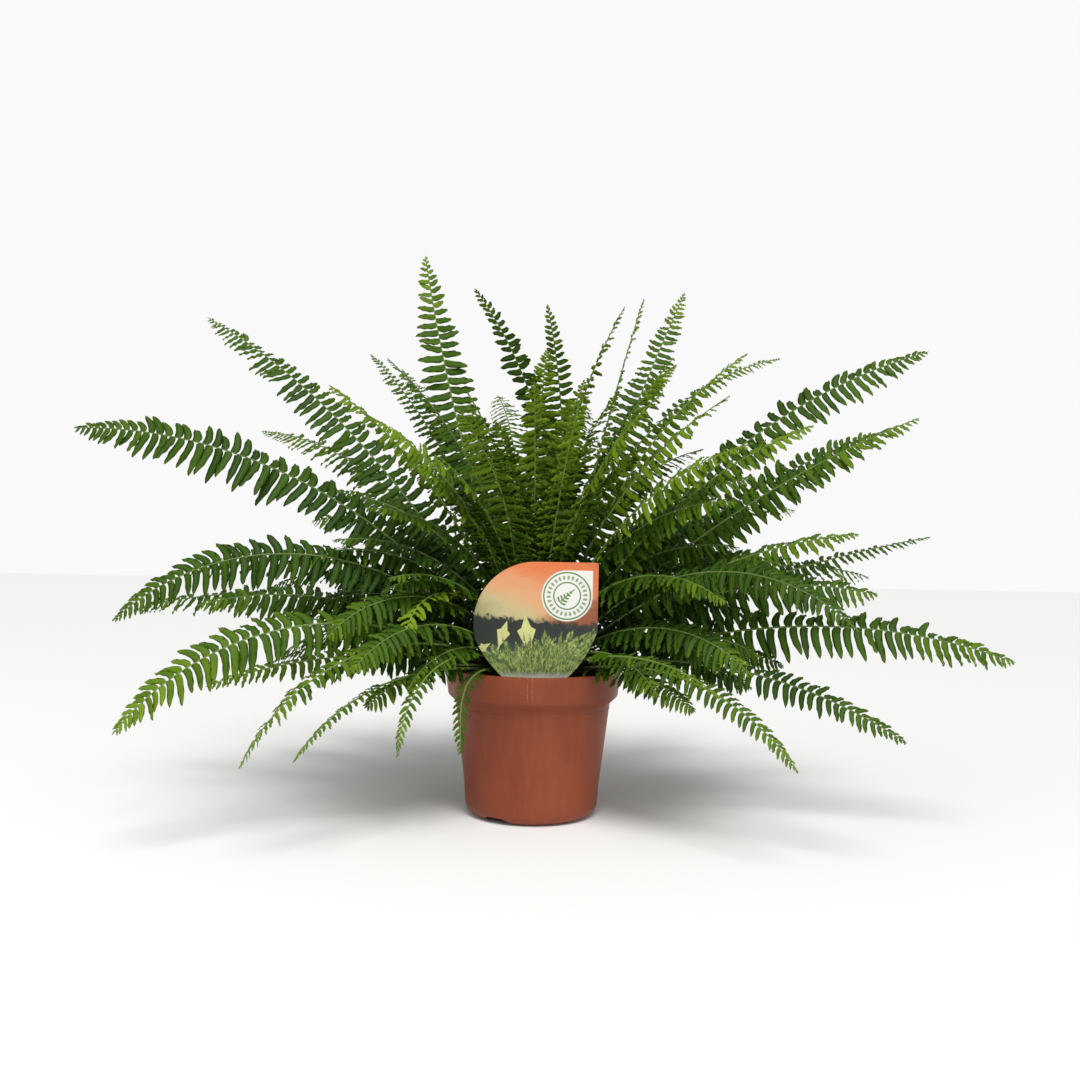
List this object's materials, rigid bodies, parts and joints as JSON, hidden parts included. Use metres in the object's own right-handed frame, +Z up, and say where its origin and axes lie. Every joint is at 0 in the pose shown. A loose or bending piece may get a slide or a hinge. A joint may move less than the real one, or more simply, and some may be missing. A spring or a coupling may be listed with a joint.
{
  "type": "potted fern",
  "caption": "Sword fern with long arching fronds of many narrow leaflets, rising from a crown in a round stepped-rim nursery pot of soil, with a drop-shaped label card at the front.",
  "frame": {"origin": "middle of the pot's foot, on the surface it stands on", "axes": "+Z up; -Y is the side with the label card, +X to its right; the spread is widest along X"},
  "size_m": [0.7059, 0.4919, 0.4473],
  "materials": {
    "pot_plastic": "satin, finely scuffed",
    "soil": "crumbly, damp",
    "rhizome": "rough, fibrous",
    "label_card": "printed, semi-gloss",
    "leaf_old": "soft sheen",
    "leaf_mature": "soft sheen",
    "leaf_young": "soft sheen"
  },
  "bodies": {
    "root": {"nursery_pot": "pot_plastic", "potting_soil": "soil", "crown": "rhizome", "plant_label": "label_card", "outer_frond_01": "leaf_old", "outer_frond_02": "leaf_old", "outer_frond_03": "leaf_old", "outer_frond_04": "leaf_old", "outer_frond_05": "leaf_old", "outer_frond_06": "leaf_old", "outer_frond_07": "leaf_old", "outer_frond_08": "leaf_old", "outer_frond_09": "leaf_old", "outer_frond_10": "leaf_old", "outer_frond_11": "leaf_old", "outer_frond_12": "leaf_old", "outer_frond_13": "leaf_old", "outer_frond_14": "leaf_old", "outer_frond_15": "leaf_old", "outer_frond_16": "leaf_old", "outer_frond_17": "leaf_old", "middle_frond_01": "leaf_mature", "middle_frond_02": "leaf_mature", "middle_frond_03": "leaf_mature", "middle_frond_04": "leaf_mature", "middle_frond_05": "leaf_mature", "middle_frond_06": "leaf_mature", "middle_frond_07": "leaf_mature", "middle_frond_08": "leaf_mature", "middle_frond_09": "leaf_mature", "middle_frond_10": "leaf_mature", "middle_frond_11": "leaf_mature", "middle_frond_12": "leaf_mature", "middle_frond_13": "leaf_mature", "middle_frond_14": "leaf_mature", "middle_frond_15": "leaf_mature", "middle_frond_16": "leaf_mature", "middle_frond_17": "leaf_mature", "middle_frond_18": "leaf_mature", "middle_frond_19": "leaf_mature", "middle_frond_20": "leaf_mature", "inner_frond_01": "leaf_young", "inner_frond_02": "leaf_young", "inner_frond_03": "leaf_young", "inner_frond_04": "leaf_young", "inner_frond_05": "leaf_young", "inner_frond_06": "leaf_young", "inner_frond_07": "leaf_young", "inner_frond_08": "leaf_young", "inner_frond_09": "leaf_young", "inner_frond_10": "leaf_young", "inner_frond_11": "leaf_young", "inner_frond_12": "leaf_young", "inner_frond_13": "leaf_young", "inner_frond_14": "leaf_young", "inner_frond_15": "leaf_young", "inner_frond_16": "leaf_young", "inner_frond_17": "leaf_young", "inner_frond_18": "leaf_young", "inner_frond_19": "leaf_young"}
  },
  "joints": []
}
